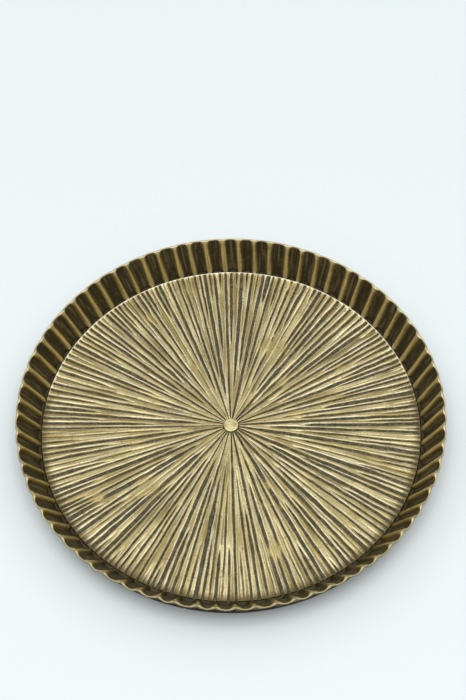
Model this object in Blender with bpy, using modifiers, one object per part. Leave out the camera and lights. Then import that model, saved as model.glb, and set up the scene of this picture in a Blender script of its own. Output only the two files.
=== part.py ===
"""Round brass tray: a fluted pan, a sunburst floor plate laid in it, and one rivet that holds the two.

Run with: blender --background --python part.py
Units are metres, +Z is up. The origin is the middle of the tray, on the surface that its pads stand on.
"""

import math

import bmesh
import bpy

MM = 0.001
TURN = 2 * math.pi

# Driving dimensions
RIM_RADIUS = 190.5 * MM  # outside of the rim, at the middle of a flute
HEIGHT = 36.5 * MM  # from the table to the rim
FLOOR_RADIUS = 170.6 * MM  # outer edge of the sunburst plate
FLUTES = 73
GAP = 0.3 * MM  # between two pieces that touch

# Foot pads
PAD_RADIUS = 10.0 * MM
PAD_THICKNESS = 2.2 * MM
PAD_CIRCLE_RADIUS = 150.0 * MM
PAD_NAMES = ("foot_pad_back_right", "foot_pad_back_left", "foot_pad_front_left", "foot_pad_front_right")
PAD_SEGMENTS = 32

# Pan
PAN_BOTTOM = PAD_THICKNESS + GAP
PAN_THICKNESS = 1.3 * MM
WALL_THICKNESS = 1.6 * MM  # at the middle of a flute
PAN_FLOOR = PAN_BOTTOM + PAN_THICKNESS
GUTTER_CLEARANCE = 0.4 * MM  # beside the edge of the sunburst plate, before the pan turns up
GUTTER_CORNER = (1.3 * MM, 0.8 * MM)  # width and height of the slope in the gutter's corner
FOOT_WIDTH = 4.4 * MM  # from the edge of the plate out to the wall, level with the top of the plate
FOOT_OUTSIDE = 7.0 * MM  # from the edge of the plate out to the heavy plain corner under the wall
FOOT_BEVEL = 1.1 * MM  # the slope that takes the sharpness off that corner

# Sunburst plate
PLATE_BOTTOM = PAN_FLOOR + GAP
PLATE_WEB = 1.3 * MM
RELIEF = 1.4 * MM  # height of a ray above the grooves beside it
GROOVE_FLOOR = PLATE_BOTTOM + PLATE_WEB
RAY_TOP = GROOVE_FLOOR + RELIEF
PLATE_EDGE_BEVEL = 1.2 * MM  # how far in from the edge the rays start to round over
PLATE_EDGE_DROP = 1.0 * MM  # and how far down they go

# Flutes, pressed inwards as ridges between round hollows
RIDGE_DEPTH_INSIDE_RIM = 3.2 * MM
RIDGE_DEPTH_INSIDE_FOOT = 2.7 * MM
RIDGE_DEPTH_OUTSIDE = 1.6 * MM
CREST_SOFTNESS = 0.12  # rounds the crest of a ridge
HOLLOW_FULLNESS = 0.84  # 1 gives a sine hollow, less gives a fuller, rounder one
FIRST_RIDGE = math.radians(4.05)
RIDGE_WANDER = 0.05  # hand-laid unevenness, as a share of the pitch
FLUTE_LEAN = math.radians(0.77)  # how far the rim end of a flute is turned from its foot
FLUTE_COLUMNS = (0.0, 0.14, 0.38, 0.62, 0.86)  # share of the pitch, from one crest to the next

# Rays of the sunburst
RAYS = 90
# Share of the pitch, and whether that column is on the ray
RAY_COLUMNS = ((0.00, True), (0.50, True), (0.62, False), (0.88, False))
RAY_STARTS = (9.0 * MM, 92.0 * MM, 46.0 * MM)  # long, short and middling rays, in turn
RAY_TIP = 6.0 * MM  # length of the slope at the inner end of a ray

# Rivet and its washer
SHANK_RADIUS = 2.5 * MM
HOLE_RADIUS = SHANK_RADIUS + GAP
BUTTON_RADIUS = 6.9 * MM
BUTTON_TOP = RAY_TOP + 1.0 * MM
SEAT_RADIUS = 8.2 * MM  # flat recess round the button
WASHER_RADIUS = 6.0 * MM
WASHER_THICKNESS = 0.8 * MM
TAIL_RADIUS = 4.2 * MM
TAIL_THICKNESS = 0.7 * MM
RIVET_STEPS = 40

SMOOTH_ANGLE = math.radians(35)


def clear_scene():
    for obj in list(bpy.data.objects):
        bpy.data.objects.remove(obj, do_unlink=True)


def make_collection(name):
    collection = bpy.data.collections.new(name)
    bpy.context.scene.collection.children.link(collection)
    return collection


def make_material(name, colour, roughness, metallic):
    material = bpy.data.materials.new(name)
    material.use_nodes = True
    shader = material.node_tree.nodes["Principled BSDF"]
    shader.inputs["Base Color"].default_value = (*colour, 1.0)
    shader.inputs["Roughness"].default_value = roughness
    shader.inputs["Metallic"].default_value = metallic
    return material


def add_object(name, mesh, collection, material):
    obj = bpy.data.objects.new(name, mesh)
    collection.objects.link(obj)
    mesh.materials.clear()
    mesh.materials.append(material)
    mesh.shade_smooth()
    mesh.set_sharp_from_angle(angle=SMOOTH_ANGLE)
    return obj


def turned(name, profile, steps, closed, collection, material):
    """A piece turned round Z from a profile of (radius, height) points. A closed profile leaves a bore."""
    mesh = bpy.data.meshes.new(name)
    edges = [(i, i + 1) for i in range(len(profile) - 1)]
    if closed:
        edges.append((len(profile) - 1, 0))
    mesh.from_pydata([(radius, 0.0, height) for radius, height in profile], edges, [])
    blank = bpy.data.objects.new(name + "_blank", mesh)
    collection.objects.link(blank)
    screw = blank.modifiers.new("turn", "SCREW")
    screw.axis = "Z"
    screw.steps = steps
    screw.render_steps = steps
    screw.use_merge_vertices = True
    screw.merge_threshold = 0.01 * MM
    bpy.context.view_layer.update()
    graph = bpy.context.evaluated_depsgraph_get()
    solid = bpy.data.meshes.new_from_object(blank.evaluated_get(graph))
    bpy.data.objects.remove(blank, do_unlink=True)
    solid.name = name
    shape = bmesh.new()
    shape.from_mesh(solid)
    bmesh.ops.recalc_face_normals(shape, faces=shape.faces)
    shape.to_mesh(solid)
    shape.free()
    return add_object(name, solid, collection, material)


def column_of(vertex, steps):
    """Which of the evenly turned columns a vertex stands in."""
    angle = math.atan2(vertex.co.y, vertex.co.x) % TURN
    return round(angle / TURN * steps) % steps


def set_polar(vertex, radius, angle, height):
    vertex.co = (radius * math.cos(angle), radius * math.sin(angle), height)


def ridge_shape(phase):
    """1 on the crest of a ridge (phase 0 or 1), 0 in the middle of a hollow (phase 0.5)."""
    softened = (math.sin(math.pi * phase) ** 2 + CREST_SOFTNESS**2) ** (HOLLOW_FULLNESS / 2)
    lowest = CREST_SOFTNESS**HOLLOW_FULLNESS
    highest = (1 + CREST_SOFTNESS**2) ** (HOLLOW_FULLNESS / 2)
    return (highest - softened) / (highest - lowest)


def ridge_angle(number):
    """Where ridge number stands round the tray. Hand-laid flutes wander a little from even spacing."""
    number %= FLUTES
    wander = math.sin(1.7 * number) + math.sin(2.9 * number + 1.3)
    return FIRST_RIDGE + (number + RIDGE_WANDER * wander) * TURN / FLUTES


def flute_place(column):
    """(angle, phase) of a column of the wall."""
    number, part = divmod(column, len(FLUTE_COLUMNS))
    phase = FLUTE_COLUMNS[part]
    start = ridge_angle(number)
    width = (ridge_angle(number + 1) - start) % TURN
    return start + phase * width, phase


def make_pan(collection, material):
    """Flat bottom and flared fluted wall in one piece."""
    rim_inside = RIM_RADIUS - WALL_THICKNESS
    gutter = FLOOR_RADIUS + GUTTER_CLEARANCE
    foot = FLOOR_RADIUS + FOOT_WIDTH
    corner_width, corner_height = GUTTER_CORNER
    # Radius, height, depth of the ridges there
    stations = [
        (HOLE_RADIUS, PAN_FLOOR, 0.0),
        (gutter, PAN_FLOOR, 0.0),
        (gutter + corner_width, PAN_FLOOR + corner_height, 0.0),
        (foot, RAY_TOP, RIDGE_DEPTH_INSIDE_FOOT),
        (rim_inside, HEIGHT, RIDGE_DEPTH_INSIDE_RIM),
        (RIM_RADIUS, HEIGHT, RIDGE_DEPTH_OUTSIDE),
        (foot + WALL_THICKNESS, RAY_TOP, RIDGE_DEPTH_OUTSIDE),
        (FLOOR_RADIUS + FOOT_OUTSIDE, PAN_BOTTOM + FOOT_BEVEL, 0.0),
        (FLOOR_RADIUS + FOOT_OUTSIDE - FOOT_BEVEL, PAN_BOTTOM, 0.0),
        (HOLE_RADIUS, PAN_BOTTOM, 0.0),
    ]
    steps = FLUTES * len(FLUTE_COLUMNS)
    profile = [(radius, height) for radius, height, _ in stations]
    pan = turned("fluted_pan", profile, steps, True, collection, material)
    depths = {(round(radius / MM, 2), round(height / MM, 2)): depth for radius, height, depth in stations}
    for vertex in pan.data.vertices:
        radius = math.hypot(vertex.co.x, vertex.co.y)
        height = vertex.co.z
        depth = depths[round(radius / MM, 2), round(height / MM, 2)]
        angle, phase = flute_place(column_of(vertex, steps))
        angle += FLUTE_LEAN * (height - RAY_TOP) / (HEIGHT - RAY_TOP)
        set_polar(vertex, radius - depth * ridge_shape(phase), angle, height)
    return pan


def ray_height(radius, number):
    """Height of the top of ray number at that radius: its inner end slopes up out of the groove floor."""
    start = RAY_STARTS[number % len(RAY_STARTS)]
    rise = min(max((radius - start) / RAY_TIP, 0.0), 1.0)
    return GROOVE_FLOOR + RELIEF * rise


def make_plate(collection, material):
    """The sunburst floor: tapered rays standing up from a thin disc."""
    top_radii = [FLOOR_RADIUS - PLATE_EDGE_BEVEL]
    for start in sorted(RAY_STARTS, reverse=True):
        top_radii += [start + RAY_TIP, start]
    stations = [(HOLE_RADIUS, PLATE_BOTTOM), (FLOOR_RADIUS, PLATE_BOTTOM), (FLOOR_RADIUS, GROOVE_FLOOR)]
    stations += [(radius, GROOVE_FLOOR) for radius in top_radii]
    stations += [(HOLE_RADIUS, GROOVE_FLOOR)]
    steps = RAYS * len(RAY_COLUMNS)
    plate = turned("sunburst_plate", stations, steps, True, collection, material)
    for vertex in plate.data.vertices:
        radius = math.hypot(vertex.co.x, vertex.co.y)
        height = vertex.co.z
        number, part = divmod(column_of(vertex, steps), len(RAY_COLUMNS))
        phase, on_ray = RAY_COLUMNS[part]
        if on_ray and height > PLATE_BOTTOM + GAP:
            height = ray_height(radius, number)
            if radius > FLOOR_RADIUS - PLATE_EDGE_BEVEL / 2:
                height -= PLATE_EDGE_DROP
        set_polar(vertex, radius, (number + phase) * TURN / RAYS, height)
    return plate


def make_rivet(collection, material):
    """Button head on the floor, a shank through plate and pan, and a tail peened over the washer."""
    head_bottom = GROOVE_FLOOR + GAP
    washer_bottom = PAN_BOTTOM - GAP - WASHER_THICKNESS
    tail_top = washer_bottom - GAP
    profile = [
        (0.0, BUTTON_TOP),
        (BUTTON_RADIUS - 1.6 * MM, BUTTON_TOP - 0.1 * MM),
        (BUTTON_RADIUS - 0.5 * MM, BUTTON_TOP - 0.5 * MM),
        (BUTTON_RADIUS, BUTTON_TOP - 1.3 * MM),
        (BUTTON_RADIUS, head_bottom),
        (SHANK_RADIUS, head_bottom),
        (SHANK_RADIUS, tail_top),
        (TAIL_RADIUS, tail_top),
        (TAIL_RADIUS - 0.4 * MM, tail_top - 0.45 * TAIL_THICKNESS),
        (TAIL_RADIUS - 1.7 * MM, tail_top - 0.9 * TAIL_THICKNESS),
        (0.0, tail_top - TAIL_THICKNESS),
    ]
    return turned("centre_rivet", profile, RIVET_STEPS, False, collection, material)


def make_washer(collection, material):
    """Flat washer under the pan, round the rivet's shank."""
    top = PAN_BOTTOM - GAP
    bottom = top - WASHER_THICKNESS
    profile = [(HOLE_RADIUS, top), (WASHER_RADIUS, top), (WASHER_RADIUS, bottom), (HOLE_RADIUS, bottom)]
    return turned("rivet_washer", profile, RIVET_STEPS, True, collection, material)


def make_pads(collection, material):
    """Four round felt pads stuck under the pan."""
    for number, name in enumerate(PAD_NAMES):
        angle = TURN / 8 + number * TURN / 4
        x = PAD_CIRCLE_RADIUS * math.cos(angle)
        y = PAD_CIRCLE_RADIUS * math.sin(angle)
        place = (x, y, PAD_THICKNESS / 2)
        bpy.ops.mesh.primitive_cylinder_add(
            vertices=PAD_SEGMENTS, radius=PAD_RADIUS, depth=PAD_THICKNESS, location=place
        )
        pad = bpy.context.object
        pad.name = name
        pad.data.name = name
        pad.data.materials.append(material)
        pad.data.shade_smooth()
        pad.data.set_sharp_from_angle(angle=SMOOTH_ANGLE)
        for holder in list(pad.users_collection):
            holder.objects.unlink(pad)
        collection.objects.link(pad)


def main():
    clear_scene()
    tray = make_collection("brass_tray")
    make_pan(tray, make_material("fluted brass", (0.35, 0.25, 0.10), 0.38, 1.0))
    make_plate(tray, make_material("sunburst brass", (0.55, 0.43, 0.22), 0.34, 1.0))
    make_rivet(tray, make_material("rivet brass", (0.62, 0.50, 0.28), 0.34, 1.0))
    make_washer(tray, make_material("washer brass", (0.50, 0.38, 0.18), 0.42, 1.0))
    make_pads(tray, make_material("felt", (0.05, 0.035, 0.025), 0.95, 0.0))


main()
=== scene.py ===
"""Looks of the round brass tray: its fluted pan, its sunburst floor, the rivet, the washer and the pads.

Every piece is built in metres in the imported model's frame, with its places taken from that frame.
"""

import math
import random

import bpy
import numpy as np
from mathutils import Matrix, Vector, noise


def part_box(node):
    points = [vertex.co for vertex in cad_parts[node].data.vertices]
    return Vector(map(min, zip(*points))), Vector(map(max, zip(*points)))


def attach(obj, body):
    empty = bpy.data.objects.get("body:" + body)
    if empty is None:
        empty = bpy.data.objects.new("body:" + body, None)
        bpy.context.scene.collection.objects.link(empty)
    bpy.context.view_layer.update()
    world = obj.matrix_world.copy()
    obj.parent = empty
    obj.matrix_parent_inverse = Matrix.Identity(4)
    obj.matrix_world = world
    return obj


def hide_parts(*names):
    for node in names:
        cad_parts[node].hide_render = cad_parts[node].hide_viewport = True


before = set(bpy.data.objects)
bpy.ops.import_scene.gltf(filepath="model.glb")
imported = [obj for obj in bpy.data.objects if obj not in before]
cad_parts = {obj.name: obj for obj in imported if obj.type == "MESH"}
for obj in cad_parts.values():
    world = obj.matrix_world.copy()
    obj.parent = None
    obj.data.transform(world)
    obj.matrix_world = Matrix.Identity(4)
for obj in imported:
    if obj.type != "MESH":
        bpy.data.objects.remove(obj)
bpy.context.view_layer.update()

MM = 0.001
TURN = 2 * math.pi
SEED = random.Random(41).random()

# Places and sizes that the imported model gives
PAN_LOW, PAN_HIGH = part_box("fluted_pan")
PLATE_LOW, PLATE_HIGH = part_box("sunburst_plate")
RIVET_LOW, RIVET_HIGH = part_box("centre_rivet")
WASHER_LOW, WASHER_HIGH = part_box("rivet_washer")
PADS = [name for name in sorted(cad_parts) if name.startswith("foot_pad")]

GAP = 0.3 * MM
RIM_Z = PAN_HIGH.z
RIM_RADIUS = 190.5 * MM  # outside of the rim at the middle of a flute
FLOOR_RADIUS = PLATE_HIGH.x
PAN_BOTTOM = PAN_LOW.z
PAN_FLOOR = PLATE_LOW.z - GAP
RAY_TOP = PLATE_HIGH.z
RELIEF = 1.4 * MM
GROOVE_FLOOR = RAY_TOP - RELIEF
BORE_RADIUS = 2.8 * MM

# Flutes
FLUTES = 73
WALL_THICKNESS = 1.2 * MM
RIDGE_INSIDE = 3.0 * MM
TONGUE_REACH = 2.8 * MM  # how far a ridge's lower end comes in from the hollows
RIDGE_OUTSIDE = 1.4 * MM
FIRST_RIDGE = math.radians(2.62)
RIDGE_WANDER = 0.05  # one ridge against the next, as a share of the pitch
# The flutes' slow unevenness: waves round the pan, and the size and start of each in degrees
RIDGE_SWAY = ((1, 0.58, 148.0), (2, 0.45, -38.0), (3, 0.30, -69.0))
FLUTE_LEAN = math.radians(0.77)
FLUTE_COLUMNS = 18
FLAT_STEP = 6  # only every sixth column is kept on the flat bottom
HOLLOW_WIDTH = 0.92  # of a hollow between two ridges, as a share of the pitch
TONGUE_WIDENING = 0.14  # how much narrower the hollows are at the foot, where the ridges end in tongues
ARCH_SHARE = 0.17  # share of the wall's height taken by the round top of a hollow
RIM_DIP = 1.2 * MM  # how far the rim hangs down at a hollow
FOOT_WIDTH = 3.4 * MM  # from the edge of the floor out to the hollows' lower ends
SHELF_DROP = 0.9 * MM  # how far the ends of the hollows lie below the tops of the rays
FRONT_LIFT = 1.2 * MM  # round the front the shelf fills up to the ends of the rays
CORNER_RADIUS = 179.4 * MM  # outside of the plain corner under the wall

# Grooves of the sunburst
FIRST_GROOVES = 28
GROOVE_START = 7.3 * MM
LAST_START = 14 * MM  # nearer the edge than this, no new groove starts
RAY_WIDTH_LIMIT = (6.6 * MM, 8.8 * MM)  # a ray wider than this has a new groove down its middle
COLUMN_SHARES = (0.0, 0.11, 0.22, 0.36, 0.50, 0.64, 0.78, 0.89)  # columns between two grooves
COARSEST = 4  # only every fourth column is kept in the middle and under the plate
COARSE_ZONE = 44 * MM
HALF_ZONE = 92 * MM  # and only every second one as far as this
SPACING_STEPS = 3  # how often neighbouring grooves push each other aside
SHOULDER = 0.6 * MM  # width over which a ray rounds off towards a groove
SHOULDER_DROP = 0.20
WORN_PLACE = 0.45 * MM  # from a groove's edge to the line rubbed bright beside it
WORN_WIDTH = 0.50 * MM
RAY_TILT = 0.12 * MM  # most that one side of a ray stands above the other
END_LENGTH = 9.0 * MM  # the rays' outer ends turn up here towards the wall
END_RISE = 0.6 * MM
LIP_WIDTH = 1.3 * MM  # the low lip that closes the grooves off at the edge
LIP_RISE = 0.45 * MM
LIP_DEPTH = 0.12  # share of their depth that the grooves keep in the lip


def noise1(x, seed):
    """Smooth noise of one variable, about -1 to 1."""
    return noise.noise(Vector((x, 17.3 * seed + 0.37, 5.1 * seed)))


def noise_round(angles, scale, level):
    """Smooth noise that joins up with itself, at points of a circle."""
    return np.array([noise.noise(Vector((math.cos(a) * scale, math.sin(a) * scale, level))) for a in angles])


def smoothstep(low, high, x):
    t = np.clip((x - low) / (high - low), 0.0, 1.0)
    return t * t * (3 - 2 * t)


# ---------------------------------------------------------------- meshes


def mesh_object(name, points, faces, attributes=None):
    """A smooth-shaded mesh object with named point attributes."""
    mesh = bpy.data.meshes.new(name)
    mesh.from_pydata(points, [], faces)
    mesh.validate()
    for key, values in (attributes or {}).items():
        layer = mesh.attributes.new(key, "FLOAT", "POINT")
        layer.data.foreach_set("value", np.asarray(values, np.float32))
    mesh.shade_smooth()
    obj = bpy.data.objects.new(name, mesh)
    bpy.context.scene.collection.objects.link(obj)
    return obj


class RingMesh:
    """Rings of points round the Z axis, joined ring to ring.

    A ring may have a whole share of its neighbour's points, such as a half or a sixth. Each key is a point
    attribute, given ring by ring.
    """

    def __init__(self, keys=()):
        self.points = []
        self.faces = []
        self.values = {key: [] for key in keys}
        self.first = None
        self.last = None

    def ring(self, radii, angles, heights, **values):
        """Adds a ring and joins it to the one before."""
        count = len(angles)
        radii = np.broadcast_to(radii, count)
        heights = np.broadcast_to(heights, count)
        start = len(self.points)
        xs = radii * np.cos(angles)
        ys = radii * np.sin(angles)
        self.points.extend(zip(xs.tolist(), ys.tolist(), heights.tolist()))
        for key, store in self.values.items():
            store.extend(np.broadcast_to(values.get(key, 0.0), count).tolist())
        if self.last:
            self.join(self.last, (start, count))
        else:
            self.first = (start, count)
        self.last = (start, count)

    def join(self, one, other):
        """Faces between two rings, each given as its first point and its count."""
        (a, count), (b, other_count) = one, other
        if count > other_count:
            self.fan(one, other, False)
        elif count < other_count:
            self.fan(other, one, True)
        else:
            for i in range(count):
                j = (i + 1) % count
                self.faces.append((a + i, a + j, b + j, b + i))

    def fan(self, fine, coarse, flipped):
        """Triangles between a ring and one with fewer points."""
        (a, fine_count), (b, count) = fine, coarse
        share = fine_count // count
        half = share // 2
        for i in range(count):
            j = (i + 1) % count
            row = [a + (share * i + k) % fine_count for k in range(share + 1)]
            faces = [(row[k], row[k + 1], b + i) for k in range(half)]
            faces.append((row[half], b + j, b + i))
            faces += [(row[k], row[k + 1], b + j) for k in range(half, share)]
            if flipped:
                faces = [tuple(reversed(face)) for face in faces]
            self.faces += faces

    def close(self):
        """Joins the last ring to the first one, for a body with a bore."""
        self.join(self.last, self.first)

    def cap(self, ring, height, up):
        """Closes a ring with one middle point."""
        start, count = ring
        middle = len(self.points)
        self.points.append((0.0, 0.0, height))
        for i in range(count):
            j = (i + 1) % count
            self.faces.append((start + i, start + j, middle) if up else (start + j, start + i, middle))

    def turn_over(self):
        """Turns every face round, for rings that were laid from the top down."""
        self.faces = [tuple(reversed(face)) for face in self.faces]

    def make(self, name):
        return mesh_object(name, self.points, self.faces, self.values)


# ---------------------------------------------------------------- sunburst floor


# Kinds of groove: share of the grooves up to this kind, widths in mm, and depths as shares of the relief
GROOVE_KINDS = (
    (0.16, (0.8, 1.3), (0.5, 0.8)),  # hairlines
    (0.80, (1.4, 2.2), (0.8, 1.0)),
    (1.00, (2.3, 3.1), (0.85, 1.0)),  # broad ones
)


class Groove:
    """One groove of the sunburst, from its start out to the edge."""

    def __init__(self, angle, start, seed, rng):
        self.angle = angle
        self.bend = 0.0  # how far it has turned aside by the time it reaches the edge
        self.start = start
        self.seed = seed
        kind = rng.random()
        widths, depths = next(ranges for up_to, *ranges in GROOVE_KINDS if kind < up_to)
        self.width = rng.uniform(*widths) * MM
        self.depth = rng.uniform(*depths)
        self.opening = rng.uniform(14.0, 45.0) * MM  # length over which it opens out
        self.wander = rng.uniform(0.5, 1.3)
        self.bridges = []
        radius = start + self.opening
        while rng.random() < 0.3:
            radius += rng.uniform(20.0, 130.0) * MM
            self.bridges.append((radius, rng.uniform(2.5, 6.0) * MM, rng.uniform(0.2, 0.6)))

    def drift(self, radius):
        """How far the groove strays sideways, as an angle."""
        slow = noise1(radius / (38 * MM), self.seed)
        quick = noise1(radius / (13 * MM), self.seed + 400)
        bent = self.bend * min(1.0, max(0.0, (radius - 15 * MM) / (100 * MM)))
        return bent + math.radians(0.28) * self.wander * (slow + 0.4 * quick)

    def sides(self, radius):
        """Half widths to the two sides, in metres."""
        narrow = 0.30 + 0.70 * min(1.0, radius / (50 * MM)) ** 0.9
        opened = min(1.0, max(0.0, (radius - self.start) / self.opening)) ** 0.9
        half = self.width / 2 * narrow * opened
        left = half * (1 + 0.40 * noise1(radius / (9 * MM), self.seed + 100))
        right = half * (1 + 0.40 * noise1(radius / (9 * MM), self.seed + 200))
        return left, right

    def depth_at(self, radius):
        opened = min(1.0, max(0.0, (radius - self.start) / (0.4 * self.opening)))
        depth = self.depth * opened * (1 + 0.15 * noise1(radius / (22 * MM), self.seed + 300))
        for place, length, fill in self.bridges:
            depth *= 1 - fill * math.exp(-(((radius - place) / length) ** 4))
        return min(depth, 1.0)


def lay_grooves(rng):
    """Works outwards from the middle, starting a new groove wherever a ray has grown too wide."""
    seeds = iter(range(1, 2000))
    grooves = []
    # The first grooves are already open at the seat round the rivet
    for number in range(FIRST_GROOVES):
        angle = (number + rng.uniform(-0.22, 0.22)) * TURN / FIRST_GROOVES
        grooves.append(Groove(angle % TURN, GROOVE_START - 40 * MM, next(seeds), rng))
    grooves.sort(key=lambda groove: groove.angle)
    limits = {groove.seed: rng.uniform(*RAY_WIDTH_LIMIT) for groove in grooves}
    radius = GROOVE_START
    while radius < FLOOR_RADIUS - LAST_START:
        radius += 1 * MM
        added = []
        for groove, following in zip(grooves, grooves[1:] + grooves[:1]):
            span = (following.angle - groove.angle) % TURN
            if span * radius < limits[groove.seed] * (0.72 + 0.28 * min(1.0, radius / (90 * MM))):
                continue
            middle = groove.angle + span * rng.uniform(0.42, 0.58)
            new = Groove(middle % TURN, radius, next(seeds), rng)
            limits[groove.seed] = rng.uniform(*RAY_WIDTH_LIMIT)
            limits[new.seed] = rng.uniform(*RAY_WIDTH_LIMIT)
            added.append(new)
        grooves = sorted(grooves + added, key=lambda groove: groove.angle)
    space_out(grooves)
    return grooves


def space_out(grooves):
    """Lets neighbouring grooves push each other aside, so that the rays end up nearly equally wide."""
    start = np.unwrap([groove.angle for groove in grooves])
    angles = start.copy()
    for _ in range(SPACING_STEPS):
        after = np.append(angles[1:], angles[0] + TURN)
        before = np.append(angles[-1] - TURN, angles[:-1])
        angles += 0.5 * ((after + before) / 2 - angles)
    for groove, bend in zip(grooves, angles - start):
        groove.bend = bend


# Smeared places where the casting filled the grooves: angle in degrees, radius, size and strength
SMEARS = (
    (66, 93 * MM, 10 * MM, 0.95),
    (43, 66 * MM, 7 * MM, 0.7),
    (219, 96 * MM, 11 * MM, 0.9),
    (286, 129 * MM, 9 * MM, 0.95),
    (122, 141 * MM, 7 * MM, 0.8),
    (211, 137 * MM, 8 * MM, 0.8),
    (105, 156 * MM, 7 * MM, 0.7),
    (343, 132 * MM, 7 * MM, 0.6),
    (30, 118 * MM, 7 * MM, 0.6),
    (158, 74 * MM, 7 * MM, 0.5),
    (190, 88 * MM, 8 * MM, 0.6),
    (250, 104 * MM, 6 * MM, 0.5),
    (318, 84 * MM, 7 * MM, 0.5),
    (12, 60 * MM, 6 * MM, 0.5),
    (82, 52 * MM, 6 * MM, 0.5),
    (268, 150 * MM, 7 * MM, 0.5),
)

NODULES = 60


def lay_nodules(rng):
    """Small beads that a sand casting leaves: angle, radius, size and height."""
    beads = []
    for _ in range(NODULES):
        radius = FLOOR_RADIUS * math.sqrt(rng.uniform(0.02, 0.95))
        beads.append((rng.uniform(0, TURN), radius, rng.uniform(0.6, 1.5) * MM, rng.uniform(0.2, 0.8)))
    return beads


def bumps_at(radius, angles, spots):
    """Sum of round bumps at a ring's points. Each spot is (angle, radius, size, strength)."""
    total = np.zeros(len(angles))
    for angle, place, size, strength in spots:
        if abs(radius - place) > 3 * size:
            continue
        squared = radius**2 + place**2 - 2 * radius * place * np.cos(angles - angle)
        total += strength * np.exp(-squared / size**2)
    return total


def edge_wear(groove, radius):
    """How bright the two edges beside a groove have been rubbed, 0 to 1 each."""
    left = 0.6 + 1.2 * noise1(radius / (40 * MM), groove.seed + 600)
    right = 0.6 + 1.2 * noise1(radius / (40 * MM), groove.seed + 700)
    return min(max(left, 0.0), 1.0), min(max(right, 0.0), 1.0)


def relief_at(radius, angles, grooves):
    """What the grooves do along one ring.

    Returns the share of the depth cut away (0 none, 1 full), the rounding of the shoulders, how worn the
    edges beside the grooves are, the place across the ray (-1 to 1) and the ray's tone (about -1 to 1).
    """
    active = [groove for groove in grooves if groove.start < radius]
    places = np.array([groove.angle + groove.drift(radius) for groove in active])
    order = np.argsort(places % TURN)
    places = (places % TURN)[order]
    sides = np.array([groove.sides(radius) for groove in active])[order]
    depths = np.array([groove.depth_at(radius) for groove in active])[order]
    after = np.searchsorted(places, angles % TURN) % len(places)
    before = (after - 1) % len(places)
    cut = np.zeros(len(angles))
    rounding = np.zeros(len(angles))
    wear = np.zeros(len(angles))
    worn = np.array([edge_wear(groove, radius) for groove in active])[order]
    span = (places[after] - places[before]) % TURN
    across = 2 * ((angles - places[before]) % TURN) / np.maximum(span, 1e-6) - 1
    tones = np.array([1.5 * noise1(radius / (45 * MM), groove.seed + 500) for groove in active])[order]
    for index, half, wear_here in (
        (before, sides[before, 1], worn[before, 1]),
        (after, sides[after, 0], worn[after, 0]),
    ):
        away = np.abs((angles - places[index] + math.pi) % TURN - math.pi) * radius
        half = np.maximum(half, 0.05 * MM)
        soft = (0.20 * MM + 0.14 * half) * min(1.0, 0.4 + radius / (50 * MM))
        depth = depths[index] * (1 - smoothstep(half - soft, half + soft, away))
        cut = np.maximum(cut, depth)
        clear = np.maximum(away - half, 0)
        slim = min(1.0, 0.35 + radius / (60 * MM))
        rounding = np.maximum(rounding, depths[index] * np.exp(-((clear / (SHOULDER * slim)) ** 1.5)))
        from_edge = (away - half - WORN_PLACE * slim) / (WORN_WIDTH * slim)
        wear = np.maximum(wear, depths[index] * wear_here * np.exp(-(from_edge**2)))
    return cut, rounding, wear, np.clip(across, -1, 1), tones[before]


def lip_strength(angles):
    """The edge of the floor is turned up into a lip round the back, and runs out plain round the front."""
    ragged = np.array([noise1(angle * 9, 77) for angle in angles])
    return smoothstep(0.08, 0.42, np.sin(angles) + 0.12 * ragged)


def floor_rings():
    """Radius of each ring of the floor's top, and its step: 2 where only every second column is kept."""
    inner = GROOVE_START + (COARSE_ZONE - GROOVE_START) * np.linspace(0, 1, 20, endpoint=False) ** 1.25
    middle = np.linspace(COARSE_ZONE, HALF_ZONE, 22, endpoint=False)
    outer = np.linspace(HALF_ZONE, FLOOR_RADIUS - 3.4 * MM, 31)
    rings = [(radius, COARSEST) for radius in inner]
    rings += [(radius, 2) for radius in middle]
    rings += [(radius, 1) for radius in outer]
    rings += [(FLOOR_RADIUS - inwards * MM, 1) for inwards in (2.3, 1.8, 1.3, 0.9)]
    return rings


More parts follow.
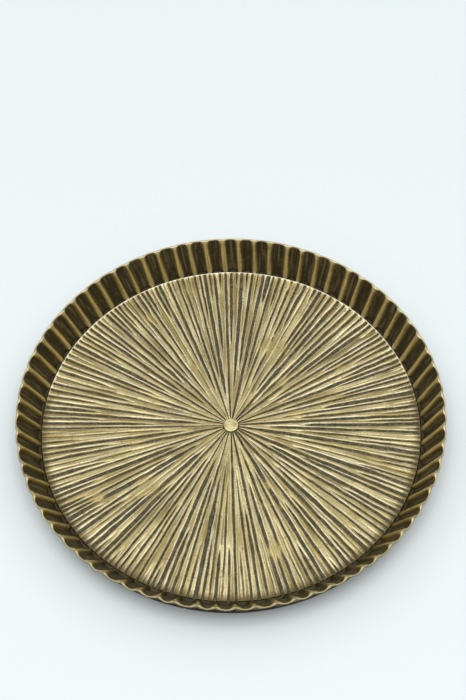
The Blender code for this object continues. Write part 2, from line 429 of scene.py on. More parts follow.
def make_floor():
    """The sunburst plate: grooves that wander, open, fill up, and start between the rays as they spread."""
    rng = random.Random(SEED)
    grooves = lay_grooves(rng)
    beads = lay_nodules(rng)
    smears = [(math.radians(angle), radius, size, strength) for angle, radius, size, strength in SMEARS]
    bases = np.array([groove.angle for groove in grooves])
    spans = (np.roll(bases, -1) - bases) % TURN
    share = np.array(COLUMN_SHARES)
    base_angles = (bases[:, None] + spans[:, None] * share[None, :]).ravel()

    def column_angles(radius, step):
        drift = np.array([groove.drift(radius) for groove in grooves])
        between = drift[:, None] * (1 - share) + np.roll(drift, -1)[:, None] * share
        return (base_angles + between.ravel())[::step]

    shape = RingMesh(("relief", "edge", "smear", "tone", "ends"))
    # The underside first, from the bore out
    plain = base_angles[::COARSEST]
    shape.ring(BORE_RADIUS, plain, PLATE_LOW.z, relief=0.3)
    shape.ring(60 * MM, plain, PLATE_LOW.z, relief=0.3)
    shape.ring(FLOOR_RADIUS - 2 * MM, plain, PLATE_LOW.z, relief=0.3)
    angles = column_angles(FLOOR_RADIUS, 1)
    wavy = 0.12 * MM * noise_round(angles, 22, 3.3)
    shape.ring(FLOOR_RADIUS - 0.5 * MM + wavy, angles, PLATE_LOW.z, relief=0.1)
    cut, rounding, wear, across, tone = relief_at(FLOOR_RADIUS, angles, grooves)
    lip = lip_strength(angles)
    cut = cut * (1 - (1 - LIP_DEPTH) * lip)
    # Round the front the plate's side gets a higher relief value, so it is coloured brown instead of soot,
    # and ends browns its edge: painted shade
    side = 0.1 + 0.5 * (1 - lip)
    shape.ring(FLOOR_RADIUS - 0.1 * MM + wavy, angles, PLATE_LOW.z + 0.5 * MM, relief=side, ends=1 - lip)
    # The lip rounds over, with the ends of the grooves faintly showing in it; its edge value paints a
    # highlight along it round the back
    for inwards, drop in ((0.0, 0.9), (0.03, 0.5), (0.12, 0.22), (0.3, 0.06), (0.6, 0.0)):
        height = RAY_TOP + END_RISE + LIP_RISE * lip - drop * MM - cut * (1 - 0.5 * drop) * RELIEF
        level = np.clip(1 - cut - 0.8 * drop, side, 1)
        radii = FLOOR_RADIUS - inwards * MM + wavy
        shape.ring(radii, angles, height, relief=level, edge=lip * (1 - drop), tone=tone, ends=1 - lip)
    for radius, step in reversed(floor_rings()):
        angles = column_angles(radius, step)
        cut, rounding, wear, across, tone = relief_at(radius, angles, grooves)
        smear = np.clip(bumps_at(radius, angles, smears), 0, 1)
        # end lifts the rays' outer ends, and through ends it also paints shade over them everywhere but
        # round the back
        end = max(0.0, 1 - (FLOOR_RADIUS - radius) / END_LENGTH)
        strength = lip_strength(angles)
        lip = strength * smoothstep(FLOOR_RADIUS - 0.6 * MM - LIP_WIDTH, FLOOR_RADIUS - 0.6 * MM, radius)
        cut = cut * (1 - 0.85 * smear) * (1 - (1 - LIP_DEPTH) * lip)
        level = 1 - cut - SHOULDER_DROP * rounding * (1 - smear)
        beaded = bumps_at(radius, angles, beads)
        xs, ys = radius * np.cos(angles), radius * np.sin(angles)
        rough = np.array([noise.noise(Vector((x * 420, y * 420, 1.7))) for x, y in zip(xs, ys)])
        swell = np.array([noise.noise(Vector((x * 60, y * 60, 8.2))) for x, y in zip(xs, ys)])
        rise = beaded * 0.55 * MM + rough * 0.07 * MM + swell * 0.10 * MM + across * tone * RAY_TILT
        sunk = 1 - 0.45 * (1 - smoothstep(GROOVE_START, GROOVE_START + 3 * MM, radius))
        height = np.minimum(GROOVE_FLOOR + RELIEF * level * sunk + rise, RAY_TOP + 0.5 * MM)
        height += END_RISE * end**2 + LIP_RISE * lip
        # edge holds the edges rubbed bright beside the grooves and the painted highlight on the lip round
        # the back
        shape.ring(
            radius,
            angles,
            height,
            relief=np.clip(level, 0, 1),
            edge=np.maximum(wear * (1 - smear) * (1 - end * (1 - strength)), lip),
            smear=smear,
            tone=tone * (1 - cut),
            ends=end * (1 - strength),
        )
    # The flat seat round the rivet, down the bore and back to the start
    plain = column_angles(GROOVE_START, COARSEST)
    shape.ring(GROOVE_START - 0.3 * MM, plain, GROOVE_FLOOR + 0.4 * MM, relief=0.1)
    shape.ring(GROOVE_START - 0.6 * MM, plain, GROOVE_FLOOR + 0.05 * MM, relief=0.05)
    shape.ring(BORE_RADIUS, plain, GROOVE_FLOOR, relief=0.1)
    shape.close()
    return shape.make("sunburst_floor")


# ---------------------------------------------------------------- fluted pan


def ridge_angle(number):
    number %= FLUTES
    wander = math.sin(1.7 * number) + math.sin(2.9 * number + 1.3)
    even = FIRST_RIDGE + number * TURN / FLUTES
    sway = sum(size * math.sin(waves * even + math.radians(start)) for waves, size, start in RIDGE_SWAY)
    return even + math.radians(sway) + RIDGE_WANDER * wander * TURN / FLUTES


def pocket_shape(phase, width):
    """1 in the middle of a hollow, at phase 0.5, and 0 on the ridges. width is a share of the pitch."""
    place = np.abs(phase - 0.5) / (width / 2)
    return np.clip(1 - place**2.2, 0, 1) ** 0.75


def flute_columns():
    """Base angle and phase of every column of the wall, closer together beside the ridges."""
    even = np.arange(FLUTE_COLUMNS) / FLUTE_COLUMNS
    phases = even - 0.05 * np.sin(2 * np.pi * even) - 0.022 * np.sin(4 * np.pi * even)
    starts = np.array([ridge_angle(number) for number in range(FLUTES)])
    spans = (np.roll(starts, -1) - starts) % TURN
    angles = starts[:, None] + spans[:, None] * phases[None, :]
    return angles.ravel(), np.tile(phases, FLUTES)


def make_pan():
    """The pan: flat bottom, gutter, flared wall with hollows and ridges, and a rounded rim."""
    base, phase = flute_columns()
    number = np.repeat(np.arange(FLUTES), FLUTE_COLUMNS)
    following = (number + 1) % FLUTES
    # Each ridge is a little deeper or shallower than the next, and strays a little on its way up
    rng = np.random.default_rng(5)
    vigour = 1 + 0.13 * rng.standard_normal(FLUTES).clip(-1.6, 1.6)
    worn = rng.uniform(0.0, 1.0, FLUTES)
    near = phase < 0.5
    vigour_here = np.where(near, vigour[number], vigour[following])
    worn_here = np.where(near, worn[number], worn[following])

    def stray(height):
        side = np.array([noise1(height / (16 * MM), k + 50) for k in range(FLUTES)])
        mixed = side[number] * (1 - phase) + side[following] * phase
        return mixed * math.radians(0.3)

    foot = FLOOR_RADIUS + FOOT_WIDTH
    rim_inside = RIM_RADIUS - WALL_THICKNESS
    shape = RingMesh(("crest", "up", "worn", "rim", "streak", "front"))

    def ring(
        radius, height, depth, width=HOLLOW_WIDTH, dip=0.0, step=1, rim=0.0, inside=True, lift=0.0, dull=0.0
    ):
        """One ring: depth is how far the ridges come in, dip how far the rim hangs down at the hollows, lift
        how much higher the ring lies round the front, and dull how much painted shade darkens its rim round
        the back."""
        up = (height - RAY_TOP) / (RIM_Z - RAY_TOP)
        angles = base + FLUTE_LEAN * up + stray(height) * np.clip(up, 0, 1)
        pocket = pocket_shape(phase, width) if inside else np.sin(np.pi * phase) ** 0.85
        crest = 1 - pocket
        inwards = depth * vigour_here * crest
        ragged = noise_round(angles, 30, height * 90)
        streak = np.array([noise.noise(Vector((angle * 130, height * 55, 4.4))) for angle in base])
        radii = radius - inwards + ragged * 0.12 * MM + streak * pocket * min(depth, 1 * MM) * 0.25
        front = smoothstep(-0.50, -0.90, np.sin(angles))
        back = smoothstep(0.0, 0.5, np.sin(angles))
        # The value kept as front is painted shade low on the wall round the front; on the outside it is
        # weaker
        if inside:
            rubbed_and_shaded = np.clip(np.abs(phase - 0.5) / (width / 2), 0, 1.15) ** 2.2 * (depth > 0.2 * MM)
            front_shade = front
        else:
            # Outside, the bulges are rubbed brighter; the darkening towards the foot and round the front is
            # painted shade
            bulge = 0.25 + 0.50 * np.sin(np.pi * phase) ** 1.5
            rubbed_and_shaded = bulge * smoothstep(0.02, 0.40, up) * (1 - 0.3 * front)
            front_shade = 0.35 * front
        heights = height - dip * pocket + lift * front
        shape.ring(
            radii[::step],
            angles[::step],
            heights[::step],
            crest=rubbed_and_shaded[::step],
            up=up,
            worn=worn_here[::step],
            rim=(rim * (1 - dull * back))[::step],
            streak=streak[::step],
            front=front_shade[::step],
        )

    # From the bore out along the underside
    for radius in (BORE_RADIUS, 60 * MM, 120 * MM, FLOOR_RADIUS - 2 * MM):
        ring(radius, PAN_BOTTOM, 0.0, step=FLAT_STEP, inside=False)
    # Round the corner: how far in from it, how far up, and how deep the flutes already are
    for inwards, rise, depth in (
        (2.2, 0.0, 0.0),
        (1.0, 0.12, 0.0),
        (0.3, 0.5, 0.0),
        (0.0, 1.2, 0.05),
        (0.1, 2.2, 0.25),
        (0.3, 3.2, 0.6),
    ):
        ring(CORNER_RADIUS - inwards * MM, PAN_BOTTOM + rise * MM, depth * MM, inside=False)
    # Up the outside
    low_outside = CORNER_RADIUS - 0.3 * MM
    for share in np.linspace(0.0, 1.0, 11)[:-1]:
        radius = low_outside + share * (RIM_RADIUS - low_outside)
        height = RAY_TOP + share * (RIM_Z - 0.9 * MM - RAY_TOP)
        ring(radius, height, RIDGE_OUTSIDE * (0.6 + 0.4 * share), inside=False)
    # Over the rim, which hangs down a little at each hollow
    ring(RIM_RADIUS, RIM_Z - 0.9 * MM, RIDGE_OUTSIDE, dip=RIM_DIP, inside=False)
    # The last value of each is painted shade that darkens the rim's outer edge round the back
    for radius, drop, rim, dull in (
        (RIM_RADIUS - 0.08 * MM, 0.5 * MM, 0.3, 1.0),
        (RIM_RADIUS - 0.25 * MM, 0.2 * MM, 0.8, 0.8),
        (RIM_RADIUS - 0.6 * MM, 0.0, 1.0, 0.0),
        (rim_inside + 0.3 * MM, 0.06 * MM, 1.0, 0.0),
    ):
        ring(radius, RIM_Z - drop, RIDGE_OUTSIDE, dip=RIM_DIP, rim=rim, inside=False, dull=dull)
    # Down the inside: the hollows start in round arches under the rim, and the ridges end in wider tongues
    arches = (0.005, 0.02, 0.04, 0.065, 0.095, 0.13)
    tongues = (0.935, 0.965, 0.985, 1.0)
    for share in (*arches, *np.linspace(0.18, 0.9, 14), *tongues):
        radius = rim_inside + share * (foot - rim_inside)
        height = RIM_Z - 0.25 * MM + share * (RAY_TOP - RIM_Z + 0.25 * MM)
        arch = math.sqrt(1 - (1 - min(share / ARCH_SHARE, 1.0)) ** 2)
        reach = RIDGE_INSIDE + share * (TONGUE_REACH - RIDGE_INSIDE)
        depth = RIDGE_OUTSIDE + (reach - RIDGE_OUTSIDE) * min(1.0, share / ARCH_SHARE) ** 0.7
        width = HOLLOW_WIDTH * (0.5 + 0.5 * arch) - TONGUE_WIDENING * share**3
        dip = RIM_DIP * max(0.0, 1 - share / (1.5 * ARCH_SHARE))
        ring(radius, height, depth, width=width, dip=dip, rim=max(0.0, 1 - share / 0.03))
    # Rounded ends of the tongues, and the shelf between them, down to the gap beside the floor
    for share, drop in ((0.97, 0.35), (0.86, 0.62), (0.62, 0.82), (0.36, 0.95)):
        radius = FLOOR_RADIUS + FOOT_WIDTH * share
        depth = max(0.0, radius - FLOOR_RADIUS - 0.55 * MM - drop * 0.25 * MM)
        height = RAY_TOP - SHELF_DROP * drop
        width = HOLLOW_WIDTH - TONGUE_WIDENING + (1 - share) * 0.5
        ring(radius, height, min(depth, TONGUE_REACH), width=min(width, 1.0), lift=FRONT_LIFT * drop)
    ring(FLOOR_RADIUS + 0.45 * MM, RAY_TOP - SHELF_DROP, 0.0, lift=FRONT_LIFT)
    ring(FLOOR_RADIUS + 0.38 * MM, RAY_TOP - SHELF_DROP - 0.5 * MM, 0.0)
    ring(FLOOR_RADIUS + 0.35 * MM, PAN_FLOOR + 0.3 * MM, 0.0)
    ring(FLOOR_RADIUS + 0.2 * MM, PAN_FLOOR, 0.0)
    for radius in (FLOOR_RADIUS - 3 * MM, 60 * MM, BORE_RADIUS):
        ring(radius, PAN_FLOOR, 0.0, step=FLAT_STEP)
    shape.close()
    return shape.make("fluted_pan_fine")


# ---------------------------------------------------------------- rivet, washer, pads


def lathe(profile, columns, wobble, seed):
    """A turned piece with a slightly uneven outline. Its profile is radii and heights, from the top down."""
    shape = RingMesh()
    angles = np.arange(columns) / columns * TURN
    for radius, height in profile:
        uneven = noise_round(angles, 1.6, seed)
        lift = noise_round(angles, radius * 300, seed + 9)
        calm = min(1.0, radius / (2 * MM))
        shape.ring(radius * (1 + wobble * uneven), angles, height + lift * calm * wobble * 4 * MM)
    return shape


def make_rivet():
    """Button head, hand-hammered, on its shank, with the tail peened over under the washer."""
    top = RIVET_HIGH.z
    head = RIVET_HIGH.x
    seat = GROOVE_FLOOR + GAP
    tail_top = WASHER_LOW.z - GAP
    shank = 2.5 * MM
    profile = [(head * s, top - 0.25 * MM * s**3) for s in (0.08, 0.22, 0.36, 0.5, 0.62, 0.73, 0.82)]
    profile += [(head * s, top - d * MM) for s, d in ((0.90, 0.26), (0.955, 0.46), (0.99, 0.8), (1.0, 1.3))]
    profile += [(head * 0.97, seat), (shank, seat), (shank, tail_top)]
    profile += [(3.7 * MM, tail_top), (4.1 * MM, tail_top - 0.2 * MM), (3.4 * MM, tail_top - 0.5 * MM)]
    profile += [(1.6 * MM, RIVET_LOW.z + 0.04 * MM)]
    shape = lathe(profile, 72, 0.035, 2.4)
    shape.cap(shape.first, top, True)
    shape.cap(shape.last, RIVET_LOW.z, False)
    shape.turn_over()
    return shape.make("rivet_button")


def make_washer():
    """The washer under the pan, with its corners rounded."""
    low, high = WASHER_LOW.z, WASHER_HIGH.z
    radius = WASHER_HIGH.x
    profile = [(BORE_RADIUS, high), (radius - 0.25 * MM, high), (radius - 0.04 * MM, high - 0.1 * MM)]
    profile += [(radius, high - 0.3 * MM), (radius, low + 0.3 * MM), (radius - 0.08 * MM, low + 0.1 * MM)]
    profile += [(radius - 0.3 * MM, low), (BORE_RADIUS + 0.2 * MM, low), (BORE_RADIUS, low + 0.15 * MM)]
    shape = lathe(profile, 64, 0.004, 7.7)
    shape.close()
    shape.turn_over()
    return shape.make("washer_fine")


def make_pad(node, seed):
    """A felt pad with soft, slightly uneven edges."""
    low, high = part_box(node)
    centre = (low + high) / 2
    radius = (high.x - low.x) / 2
    profile = [(radius * s, high.z - 0.02 * MM) for s in (0.25, 0.6, 0.93)]
    profile += [(radius * 0.985, high.z - 0.25 * MM), (radius, high.z - 0.7 * MM)]
    profile += [(radius, low.z + 0.7 * MM), (radius * 0.985, low.z + 0.22 * MM)]
    profile += [(radius * 0.94, low.z + 0.02 * MM)]
    profile += [(radius * s, low.z + 0.01 * MM) for s in (0.6, 0.25)]
    shape = lathe(profile, 72, 0.008, seed)
    shape.cap(shape.first, high.z - 0.02 * MM, True)
    shape.cap(shape.last, low.z + 0.01 * MM, False)
    shape.turn_over()
    shape.points = [(x + centre.x, y + centre.y, max(z, low.z)) for x, y, z in shape.points]
    return shape.make(node + "_felt")


# ---------------------------------------------------------------- materials


BUMP_DEPTH = 0.4 * MM

# Colours
PALE_BRASS = (0.75, 0.620, 0.300)
GOLD_BRASS = (0.47, 0.360, 0.140)
BROWN_BRASS = (0.225, 0.165, 0.062)
# Rubbed brass, also used for the painted highlight on the floor's lip round the back
WORN_AND_HIGHLIGHT_BRASS = (0.97, 0.90, 0.67)
# Painted shade for the rays' outer ends everywhere but round the back
END_SHADE_BROWN = (0.155, 0.115, 0.045)
GROOVE_DARK = (0.058, 0.050, 0.026)
GROOVE_GREY = (0.145, 0.130, 0.080)
# Painted shade under the pan
UNDER_SHADE_DARK = (0.022, 0.018, 0.010)
POCKET_DARK = (0.030, 0.022, 0.008)
POCKET_PALE = (0.096, 0.076, 0.034)
# Mottled browns for the painted shade low on the wall round the front
FRONT_SHADE_BROWN = (0.095, 0.074, 0.033)
SHELF_SHADE_BROWN = (0.052, 0.040, 0.018)
WALL_BRASS = (0.78, 0.62, 0.275)
WALL_WORN = (0.97, 0.86, 0.52)
RIM_BRASS = (0.62, 0.52, 0.28)
BUTTON_BRASS = (0.80, 0.69, 0.38)
FELT_DARK = (0.035, 0.028, 0.022)
FELT_BROWN = (0.075, 0.062, 0.050)
FELT_FIBRE = (0.14, 0.12, 0.10)


class Nodes:
    """Short names for building a node material."""

    # The mix node's sockets for colours; those for numbers and vectors have the same names
    COLOUR_A = 6
    COLOUR_B = 7
    COLOUR_MIXED = 2

    def __init__(self, name):
        self.material = bpy.data.materials.new(name)
        self.material.use_nodes = True
        self.tree = self.material.node_tree
        self.tree.nodes.clear()
        self.output = self.tree.nodes.new("ShaderNodeOutputMaterial")
        self.shader = self.tree.nodes.new("ShaderNodeBsdfPrincipled")
        self.tree.links.new(self.shader.outputs["BSDF"], self.output.inputs["Surface"])
        self.place = self.tree.nodes.new("ShaderNodeTexCoord").outputs["Object"]

    def link(self, source, socket):
        if isinstance(source, (int, float)):
            socket.default_value = source
        elif isinstance(source, tuple):
            socket.default_value = (*source, 1.0)
        else:
            self.tree.links.new(source, socket)

    def attribute(self, name):
        node = self.tree.nodes.new("ShaderNodeAttribute")
        node.attribute_name = name
        return node.outputs["Fac"]

    def noise(self, scale, detail=4.0, roughness=0.55, distortion=0.0):
        node = self.tree.nodes.new("ShaderNodeTexNoise")
        node.inputs["Scale"].default_value = scale
        node.inputs["Detail"].default_value = detail
        node.inputs["Roughness"].default_value = roughness
        node.inputs["Distortion"].default_value = distortion
        self.tree.links.new(self.place, node.inputs["Vector"])
        return node.outputs["Fac"]

    def spokes(self, count, along, detail=3.0):
        """Noise drawn out into lines that run away from the middle: finer with count, shorter with along."""
        flat = self.vector("MULTIPLY", self.place, (1.0, 1.0, 0.0))
        heading = self.vector("SCALE", self.vector("NORMALIZE", flat), scale=count)
        length = self.tree.nodes.new("ShaderNodeVectorMath")
        length.operation = "LENGTH"
        self.tree.links.new(flat, length.inputs[0])
        height = self.tree.nodes.new("ShaderNodeCombineXYZ")
        self.link(self.math("MULTIPLY", length.outputs["Value"], along), height.inputs["Z"])
        node = self.tree.nodes.new("ShaderNodeTexNoise")
        node.inputs["Scale"].default_value = 1.0
        node.inputs["Detail"].default_value = detail
        self.tree.links.new(self.vector("ADD", heading, height.outputs[0]), node.inputs["Vector"])
        return node.outputs["Fac"]

    def vector(self, kind, a, b=None, scale=1.0):
        node = self.tree.nodes.new("ShaderNodeVectorMath")
        node.operation = kind
        self.tree.links.new(a, node.inputs[0])
        if isinstance(b, tuple):
            node.inputs[1].default_value = b
        elif b is not None:
            self.tree.links.new(b, node.inputs[1])
        if kind == "SCALE":
            node.inputs["Scale"].default_value = scale
        return node.outputs["Vector"]

    def cells(self, scale):
        node = self.tree.nodes.new("ShaderNodeTexVoronoi")
        node.inputs["Scale"].default_value = scale
        self.tree.links.new(self.place, node.inputs["Vector"])
        return node.outputs["Distance"]

    def math(self, kind, a, b=0.0):
        node = self.tree.nodes.new("ShaderNodeMath")
        node.operation = kind
        self.link(a, node.inputs[0])
        self.link(b, node.inputs[1])
        return node.outputs[0]

    def span(self, value, low, high, to_low=0.0, to_high=1.0):
        """value's range low to high, smoothly remapped to to_low to to_high."""
        node = self.tree.nodes.new("ShaderNodeMapRange")
        node.interpolation_type = "SMOOTHSTEP"
        self.link(value, node.inputs["Value"])
        for key, number in (("From Min", low), ("From Max", high), ("To Min", to_low), ("To Max", to_high)):
            node.inputs[key].default_value = number
        return node.outputs["Result"]

    def mix(self, share, a, b):
        node = self.tree.nodes.new("ShaderNodeMix")
        node.data_type = "RGBA"
        self.link(share, node.inputs["Factor"])
        self.link(a, node.inputs[self.COLOUR_A])
        self.link(b, node.inputs[self.COLOUR_B])
        return node.outputs[self.COLOUR_MIXED]

    def bump(self, height, strength):
        node = self.tree.nodes.new("ShaderNodeBump")
        node.inputs["Strength"].default_value = strength
        node.inputs["Distance"].default_value = BUMP_DEPTH
        self.link(height, node.inputs["Height"])
        self.tree.links.new(node.outputs["Normal"], self.shader.inputs["Normal"])

    def finish(self, colour, roughness, metallic):
        self.link(colour, self.shader.inputs["Base Color"])
        self.link(roughness, self.shader.inputs["Roughness"])
        self.link(metallic, self.shader.inputs["Metallic"])
        return self.material


def floor_material():
    m = Nodes("sunburst brass, patinated")
    relief = m.attribute("relief")
    edge = m.attribute("edge")
    smear = m.attribute("smear")
    tone = m.attribute("tone")
    ends = m.attribute("ends")
    broad = m.noise(26, 3)
    fine = m.noise(340, 5, 0.65)
    grain = m.noise(1500, 3, 0.6)
    # The tops of the rays: gold to pale, with lines along them, smears, and painted shade browning their
    # ends round the front
    ray = m.math("ADD", m.math("MULTIPLY", tone, 0.5), m.math("SUBTRACT", broad, 0.5))
    ray = m.math("ADD", ray, m.math("MULTIPLY", m.math("SUBTRACT", fine, 0.5), 0.5))
    top = m.mix(m.span(ray, -0.20, 0.42), GOLD_BRASS, PALE_BRASS)
    top = m.mix(m.span(ray, -0.10, -0.55, 0.0, 0.7), top, BROWN_BRASS)
    lines = m.spokes(120, 24)
    top = m.mix(m.span(lines, 0.46, 0.34, 0.0, 0.45), top, WORN_AND_HIGHLIGHT_BRASS)
    top = m.mix(m.span(lines, 0.53, 0.64, 0.0, 0.75), top, BROWN_BRASS)
    top = m.mix(m.math("MULTIPLY", smear, 0.7), top, GOLD_BRASS)
    # Painted shade: brown over the rays' outer ends everywhere but round the back
    front_end_shade = m.math("ADD", ends, m.math("MULTIPLY", m.math("SUBTRACT", fine, 0.5), 0.6))
    top = m.mix(m.span(front_end_shade, 0.1, 0.9, 0.0, 0.9), top, END_SHADE_BROWN)
    top = m.mix(m.span(fine, 0.54, 0.70, 0.0, 0.75), top, BROWN_BRASS)
    # Edges rubbed bright beside the grooves, and a painted highlight along the lip round the back
    top = m.mix(m.math("MULTIPLY", edge, m.span(fine, 0.66, 0.42, 0.3, 1.0)), top, WORN_AND_HIGHLIGHT_BRASS)
    # Brown down the shoulders, and soot in the grooves
    ragged = m.math("MULTIPLY", m.math("SUBTRACT", fine, 0.5), 0.5)
    uneven = m.math("ADD", relief, ragged)
    brown = m.mix(m.span(uneven, 0.38, 0.66), BROWN_BRASS, top)
    dark = m.span(uneven, 0.52, 0.12)
    soot = m.mix(m.span(fine, 0.42, 0.66), GROOVE_DARK, GROOVE_GREY)
    colour = m.mix(dark, brown, soot)
    roughness = m.math("ADD", m.span(uneven, 0.2, 0.9, 0.62, 0.30), m.math("MULTIPLY", ragged, 0.5))
    metallic = m.span(uneven, 0.15, 0.6, 0.55, 1.0)
    pits = m.span(m.cells(900), 0.0, 0.28)
    height = m.math("ADD", m.math("MULTIPLY", fine, 0.6), m.math("MULTIPLY", grain, 0.25))
    height = m.math("ADD", height, m.math("MULTIPLY", pits, 0.25))
    height = m.math("SUBTRACT", height, m.math("MULTIPLY", lines, 0.8))
    m.bump(height, 0.5)
    return m.finish(colour, roughness, metallic)


def pan_material():
    m = Nodes("fluted brass, patinated")
    crest = m.attribute("crest")
    rim = m.attribute("rim")
    up = m.attribute("up")
    worn = m.attribute("worn")
    streak = m.attribute("streak")
    front = m.attribute("front")
    broad = m.noise(30, 3)
    fine = m.noise(300, 5, 0.65)
    grain = m.noise(1400, 3, 0.6)
    ragged = m.math("SUBTRACT", fine, 0.5)
    shade = m.math("ADD", crest, m.math("MULTIPLY", ragged, 0.35))
    shade = m.math("ADD", shade, m.math("MULTIPLY", m.math("SUBTRACT", worn, 0.5), 0.12))
    shade = m.math("ADD", shade, m.math("MULTIPLY", streak, 0.16))
    # From the dark hollows up to the rubbed ridges
    gold = m.mix(m.span(broad, 0.35, 0.7), WALL_BRASS, GOLD_BRASS)
    patchy = m.math("ADD", streak, m.math("MULTIPLY", ragged, 1.2))
    deep = m.mix(m.span(patchy, -0.1, 0.5), POCKET_DARK, POCKET_PALE)
    colour = m.mix(m.span(shade, 0.18, 0.62), deep, BROWN_BRASS)
    colour = m.mix(m.span(shade, 0.55, 0.90), colour, gold)
    colour = m.mix(m.span(shade, 0.88, 1.10, 0.0, 0.8), colour, WALL_WORN)
    # Painted shade low on the wall round the front, dark spots at its foot elsewhere, and painted shade on
    # the corner below
    low = m.math("ADD", up, m.math("MULTIPLY", ragged, 0.25))
    front_shade_mask = m.math("MULTIPLY", front, m.span(low, 0.95, 0.45))
    blotches = m.noise(130, 3, 0.6)
    shelf = m.mix(m.span(blotches, 0.44, 0.60), POCKET_DARK, SHELF_SHADE_BROWN)
    front_shade_colour = m.mix(m.span(blotches, 0.62, 0.46), FRONT_SHADE_BROWN, SHELF_SHADE_BROWN)
    front_shade_colour = m.mix(m.span(up, 0.05, 0.0), front_shade_colour, shelf)
    colour = m.mix(m.math("MULTIPLY", front_shade_mask, 0.93), colour, front_shade_colour)
    above = m.math("ADD", low, m.math("MULTIPLY", crest, 0.12))
    spots = m.math("MULTIPLY", m.span(above, 0.10, 0.0), m.math("SUBTRACT", 1.0, front))
    colour = m.mix(spots, colour, POCKET_DARK)
    # Painted shade: the pan is dark from about 2.5 mm below the rays' tops down, on its corner and underside
    colour = m.mix(m.span(up, -0.08, -0.11, 0.0, 1.0), colour, UNDER_SHADE_DARK)
    colour = m.mix(m.math("MULTIPLY", rim, 0.8), colour, RIM_BRASS)
    roughness = m.math("ADD", m.span(shade, 0.2, 0.9, 0.5, 0.32), m.math("MULTIPLY", ragged, 0.25))
    metallic = m.span(m.math("ADD", shade, rim), 0.1, 0.5, 0.3, 1.0)
    m.shader.inputs["Specular IOR Level"].default_value = 0.3
    height = m.math("ADD", m.math("MULTIPLY", fine, 0.6), m.math("MULTIPLY", grain, 0.25))
    m.bump(height, 0.5)
    return m.finish(colour, roughness, metallic)


def plain_brass(name, pale, gold):
    m = Nodes(name)
    broad = m.noise(160, 3)
    fine = m.noise(500, 5, 0.6)
    colour = m.mix(m.span(broad, 0.35, 0.7), pale, gold)
    colour = m.mix(m.span(fine, 0.58, 0.8, 0.0, 0.5), colour, BROWN_BRASS)
    roughness = m.math("ADD", 0.26, m.math("MULTIPLY", fine, 0.3))
    m.bump(m.math("ADD", fine, m.math("MULTIPLY", broad, 1.5)), 0.7)
    return m.finish(colour, roughness, 1.0)


def felt_material():
    m = Nodes("pressed felt")
    fibres = m.noise(2600, 6, 0.75, 1.5)
    tufts = m.noise(420, 4, 0.6)
    colour = m.mix(m.span(tufts, 0.3, 0.7), FELT_DARK, FELT_BROWN)
    colour = m.mix(m.span(fibres, 0.5, 0.75, 0.0, 0.6), colour, FELT_FIBRE)
    m.shader.inputs["Sheen Weight"].default_value = 0.35
    m.bump(m.math("ADD", fibres, tufts), 0.9)
    return m.finish(colour, m.span(fibres, 0.2, 0.8, 0.85, 1.0), 0.0)


# ---------------------------------------------------------------- studio


# Camera, fitted to the photograph's view
ELEVATION = math.radians(56.7)
ROLL = math.radians(-1.08)
DISTANCE = 1.2627
ASIDE = 0.00184  # how far the middle of the picture is from the middle of the floor
ABOVE = 0.06761
LENS = 72
SENSOR = 36

# Studio
BACKDROP = (0.863, 0.913, 0.947)
SKY_TINT = (0.95, 0.98, 1.0)
TABLE_SHADE = (0.578, 0.610, 0.616)
TABLE_PALE = (0.592, 0.624, 0.630)
TABLE_RADIUS = 6.0
TABLE_CORNERS = 96
SOFTBOX_PLACE = (0.0, -0.9, 4.1)
SOFTBOX_SIZE = (2.8, 2.2)
SOFTBOX_POWER = 108
SOFTBOX_TINT = (1.0, 1.0, 0.99)
MIRRORED = (0.0, 0.55, 0.835)  # the way that the flat of the floor mirrors the camera's view
DIM = 0.16
FLAT_GLOW = 0.62
RING_GLOW = 1.15


def make_camera():
    back = Vector((0, -math.cos(ELEVATION), math.sin(ELEVATION)))
    level = Vector((1, 0, 0))
    rise = Vector((0, math.sin(ELEVATION), math.cos(ELEVATION)))
    right = level * math.cos(ROLL) + rise * math.sin(ROLL)
    up = rise * math.cos(ROLL) - level * math.sin(ROLL)
    eye = back * DISTANCE + right * ASIDE + up * ABOVE + Vector((0, 0, RAY_TOP))
    data = bpy.data.cameras.new("camera")
    data.lens = LENS
    data.sensor_width = SENSOR
    data.clip_start = 0.01
    data.clip_end = 50
    camera = bpy.data.objects.new("camera", data)
    bpy.context.scene.collection.objects.link(camera)
    turn = Matrix((right, up, back)).transposed().to_4x4()
    camera.matrix_world = Matrix.Translation(eye) @ turn
    bpy.context.scene.camera = camera


def make_softbox():
    """Lights the table and the tray, and casts the shadow. The brass doesn't mirror it."""
    data = bpy.data.lights.new("top_softbox", "AREA")
    data.shape = "RECTANGLE"
    data.size, data.size_y = SOFTBOX_SIZE
    data.energy = SOFTBOX_POWER
    data.color = SOFTBOX_TINT
    light = bpy.data.objects.new("top_softbox", data)
    bpy.context.scene.collection.objects.link(light)
    light.location = SOFTBOX_PLACE
    light.rotation_euler = (-Vector(SOFTBOX_PLACE)).to_track_quat("-Z", "Y").to_euler()
    light.visible_glossy = False


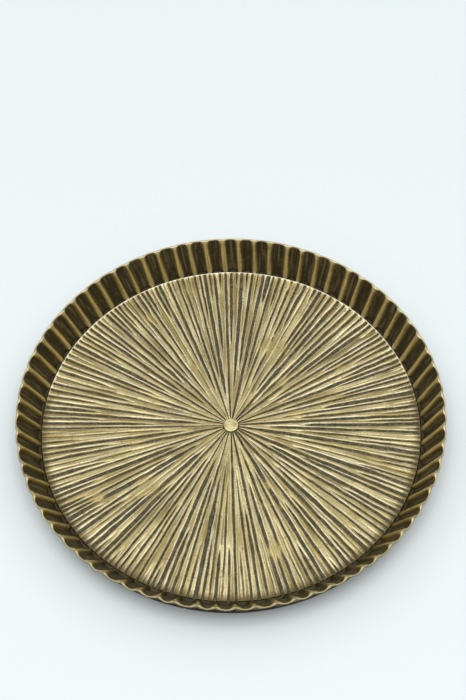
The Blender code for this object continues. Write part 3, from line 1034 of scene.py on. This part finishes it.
def make_world():
    """A pale backdrop to the camera, and what the brass mirrors: a dim studio, with light all round the
    part of it that the flat of the floor mirrors. The flats stay brown and the rays' shoulders shine."""
    world = bpy.data.worlds.new("studio")
    bpy.context.scene.world = world
    world.use_nodes = True
    tree = world.node_tree
    tree.nodes.clear()

    def node(kind):
        return tree.nodes.new(kind)

    def span(value, low, high, to_low, to_high):
        ramp = node("ShaderNodeMapRange")
        ramp.interpolation_type = "SMOOTHSTEP"
        tree.links.new(value, ramp.inputs["Value"])
        for key, number in (("From Min", low), ("From Max", high), ("To Min", to_low), ("To Max", to_high)):
            ramp.inputs[key].default_value = number
        return ramp.outputs["Result"]

    def combine(kind, a, b):
        both = node("ShaderNodeMath")
        both.operation = kind
        tree.links.new(a, both.inputs[0])
        tree.links.new(b, both.inputs[1])
        return both.outputs[0]

    place = node("ShaderNodeTexCoord").outputs["Generated"]
    split = node("ShaderNodeSeparateXYZ")
    tree.links.new(place, split.inputs[0])
    nearness = node("ShaderNodeVectorMath")
    nearness.operation = "DOT_PRODUCT"
    nearness.inputs[1].default_value = MIRRORED
    tree.links.new(place, nearness.inputs[0])
    near = nearness.outputs["Value"]
    base = span(split.outputs["Z"], 0.1, 0.8, DIM, FLAT_GLOW)
    ring = combine("MULTIPLY", span(near, 0.985, 0.90, 0.0, 1.0), span(near, 0.25, 0.60, 0.0, 1.0))
    ring = combine("MULTIPLY", ring, span(split.outputs["Z"], 0.42, 0.78, 0.0, RING_GLOW))
    strength = combine("ADD", base, ring)
    lit = node("ShaderNodeBackground")
    lit.inputs["Color"].default_value = (*SKY_TINT, 1.0)
    tree.links.new(strength, lit.inputs["Strength"])
    seen = node("ShaderNodeBackground")
    seen.inputs["Color"].default_value = (*BACKDROP, 1.0)
    path = node("ShaderNodeLightPath")
    mixed = node("ShaderNodeMixShader")
    tree.links.new(path.outputs["Is Camera Ray"], mixed.inputs["Fac"])
    tree.links.new(lit.outputs[0], mixed.inputs[1])
    tree.links.new(seen.outputs[0], mixed.inputs[2])
    output = node("ShaderNodeOutputWorld")
    tree.links.new(mixed.outputs[0], output.inputs["Surface"])


def make_table():
    """A plain pale floor, with just enough unevenness to look like painted board."""
    corners = range(TABLE_CORNERS)
    turns = [corner * TURN / TABLE_CORNERS for corner in corners]
    points = [(TABLE_RADIUS * math.cos(turn), TABLE_RADIUS * math.sin(turn), -0.05 * MM) for turn in turns]
    table = mesh_object("table", points, [tuple(corners)])
    m = Nodes("pale board")
    tone = m.noise(1.2, 2)
    colour = m.mix(tone, TABLE_SHADE, TABLE_PALE)
    table.data.materials.append(m.finish(colour, 0.85, 0.0))


def make_studio():
    make_world()
    make_table()
    make_softbox()
    bpy.context.scene.view_settings.view_transform = "Standard"


# ---------------------------------------------------------------- the tray


def place(piece, material, slot, *nodes):
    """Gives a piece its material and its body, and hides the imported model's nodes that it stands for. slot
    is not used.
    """
    piece.data.materials.clear()
    piece.data.materials.append(material)
    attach(piece, "root")
    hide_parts(*nodes)


def main():
    place(make_floor(), floor_material(), "floor_brass", "sunburst_plate")
    place(make_pan(), pan_material(), "pan_brass", "fluted_pan")
    button = plain_brass("rivet brass", BUTTON_BRASS, GOLD_BRASS)
    place(make_rivet(), button, "rivet_brass", "centre_rivet")
    dull = plain_brass("washer brass", GOLD_BRASS, BROWN_BRASS)
    place(make_washer(), dull, "washer_brass", "rivet_washer")
    felt = felt_material()
    for seed, node in enumerate(PADS):
        place(make_pad(node, 11.3 + seed), felt, "felt", node)
    make_camera()
    make_studio()


main()
